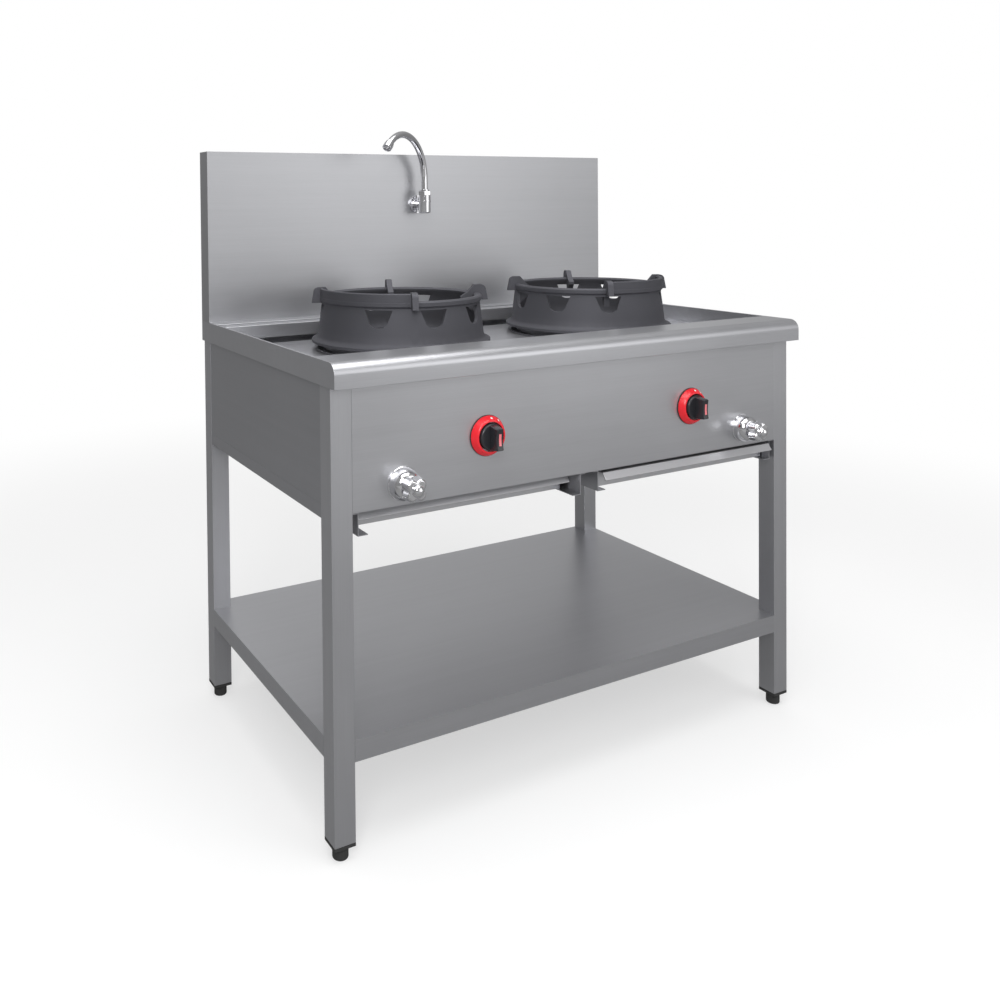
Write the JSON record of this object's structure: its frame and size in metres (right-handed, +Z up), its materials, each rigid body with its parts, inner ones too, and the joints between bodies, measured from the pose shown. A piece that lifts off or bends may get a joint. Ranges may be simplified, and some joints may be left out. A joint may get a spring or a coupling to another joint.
{
  "type": "wok range",
  "caption": "Stainless wok range on an open leg frame with ring burners, splashback, swivel spout and drip trays.",
  "frame": {"origin": "centre of the footprint on the floor", "axes": "+X from left to right along the front, +Y from front to back, +Z up"},
  "size_m": [1.12, 0.77, 1.28],
  "materials": {
    "steel_sheet": "satin brushed sheet",
    "steel_tube": "satin brushed tube",
    "tray_steel": "satin sheet with a few scuffs",
    "cast_iron": "rough sand-cast skin",
    "chamber_enamel": "dark heat-proof coat",
    "chrome": "bright plated",
    "brass": "machined",
    "galvanised": "zinc-coated pipe",
    "copper_pipe": "dull drawn copper pipe",
    "bezel_red": "glossy red",
    "knob_black": "semi-gloss black",
    "plastic_black": "moulded matte",
    "foot_rubber": "matte"
  },
  "bodies": {
    "frame": {"leg_front_left": "steel_tube", "leg_front_right": "steel_tube", "leg_rear_left": "steel_tube", "leg_rear_right": "steel_tube", "insert_front_left": "plastic_black", "insert_front_right": "plastic_black", "insert_rear_left": "plastic_black", "insert_rear_right": "plastic_black", "front_panel": "steel_sheet", "side_panel_left": "steel_sheet", "side_panel_right": "steel_sheet", "rear_panel": "steel_sheet", "top_rail_front": "steel_sheet", "top_rail_rear": "steel_sheet", "side_rail_left": "steel_sheet", "side_rail_right": "steel_sheet", "lower_shelf": "steel_sheet", "worktop": "steel_sheet", "splashback": "steel_sheet", "gutter": "steel_sheet", "chamber_left": "chamber_enamel", "chamber_right": "chamber_enamel", "burner_left": "cast_iron", "burner_right": "cast_iron", "jets_left": "brass", "jets_right": "brass", "gas_manifold": "galvanised", "gas_valve_left": "brass", "gas_valve_right": "brass", "feed_pipe_left": "galvanised", "feed_pipe_right": "galvanised", "bezel_rim_left": "plastic_black", "bezel_rim_right": "plastic_black", "bezel_left": "bezel_red", "bezel_right": "bezel_red", "tap_valve_left": "brass", "tap_valve_right": "brass", "tap_cover_left": "chrome", "tap_cover_right": "chrome", "spout_feed": "copper_pipe", "spout_mount": "chrome", "spout_nut": "chrome", "runner_left": "steel_sheet", "runner_right": "steel_sheet"},
    "foot_front_left": {"foot_front_left": "foot_rubber"},
    "foot_front_right": {"foot_front_right": "foot_rubber"},
    "foot_rear_left": {"foot_rear_left": "foot_rubber"},
    "foot_rear_right": {"foot_rear_right": "foot_rubber"},
    "spindle_left": {"spindle_left": "brass"},
    "knob_left": {"knob_left": "knob_black"},
    "tap_handle_left": {"tap_handle_left": "chrome"},
    "tray_left": {"tray_left": "tray_steel"},
    "wok_ring_left": {"wok_ring_left": "cast_iron"},
    "spindle_right": {"spindle_right": "brass"},
    "knob_right": {"knob_right": "knob_black"},
    "tap_handle_right": {"tap_handle_right": "chrome"},
    "tray_right": {"tray_right": "tray_steel"},
    "wok_ring_right": {"wok_ring_right": "cast_iron"},
    "spout": {"spout_tube": "chrome", "aerator": "chrome"}
  },
  "joints": [
    {"name": "level_front_left", "type": "slide", "parent": "frame", "child": "foot_front_left", "axis": [0, 0, 1], "range_m": [-0.025, 0]},
    {"name": "level_front_right", "type": "slide", "parent": "frame", "child": "foot_front_right", "axis": [0, 0, 1], "range_m": [-0.025, 0]},
    {"name": "level_rear_left", "type": "slide", "parent": "frame", "child": "foot_rear_left", "axis": [0, 0, 1], "range_m": [-0.025, 0]},
    {"name": "level_rear_right", "type": "slide", "parent": "frame", "child": "foot_rear_right", "axis": [0, 0, 1], "range_m": [-0.025, 0]},
    {"name": "turn_knob_left", "type": "hinge", "parent": "frame", "child": "spindle_left", "pos_m": [-0.24, -0.325, 0.689], "axis": [0, -1, 0], "range_deg": [0, 180]},
    {"name": "press_knob_left", "type": "slide", "parent": "spindle_left", "child": "knob_left", "axis": [0, 1, 0], "range_m": [0, 0.004], "stiffness_N_per_m": 1500, "springref_m": -0.001},
    {"name": "turn_knob_right", "type": "hinge", "parent": "frame", "child": "spindle_right", "pos_m": [0.266, -0.325, 0.689], "axis": [0, -1, 0], "range_deg": [0, 180]},
    {"name": "press_knob_right", "type": "slide", "parent": "spindle_right", "child": "knob_right", "axis": [0, 1, 0], "range_m": [0, 0.004], "stiffness_N_per_m": 1500, "springref_m": -0.001},
    {"name": "turn_tap_left", "type": "hinge", "parent": "frame", "child": "tap_handle_left", "pos_m": [-0.417, -0.325, 0.627], "axis": [0, -1, 0], "range_deg": [0, 90]},
    {"name": "turn_tap_right", "type": "hinge", "parent": "frame", "child": "tap_handle_right", "pos_m": [0.417, -0.325, 0.627], "axis": [0, -1, 0], "range_deg": [0, 90]},
    {"name": "swivel_spout", "type": "hinge", "parent": "frame", "child": "spout", "pos_m": [-0.02, 0.24, 1.109], "axis": [0, 0, 1], "range_deg": [-30, 150]},
    {"name": "slide_left", "type": "slide", "parent": "frame", "child": "tray_left", "axis": [0, -1, 0], "range_m": [0, 0.45]},
    {"name": "slide_right", "type": "slide", "parent": "frame", "child": "tray_right", "axis": [0, -1, 0], "range_m": [-0.026, 0.424]},
    {"name": "lift_left", "type": "slide", "parent": "frame", "child": "wok_ring_left", "axis": [0, 0, 1], "range_m": [0, 0.15]},
    {"name": "lift_right", "type": "slide", "parent": "frame", "child": "wok_ring_right", "axis": [0, 0, 1], "range_m": [0, 0.15]}
  ]
}
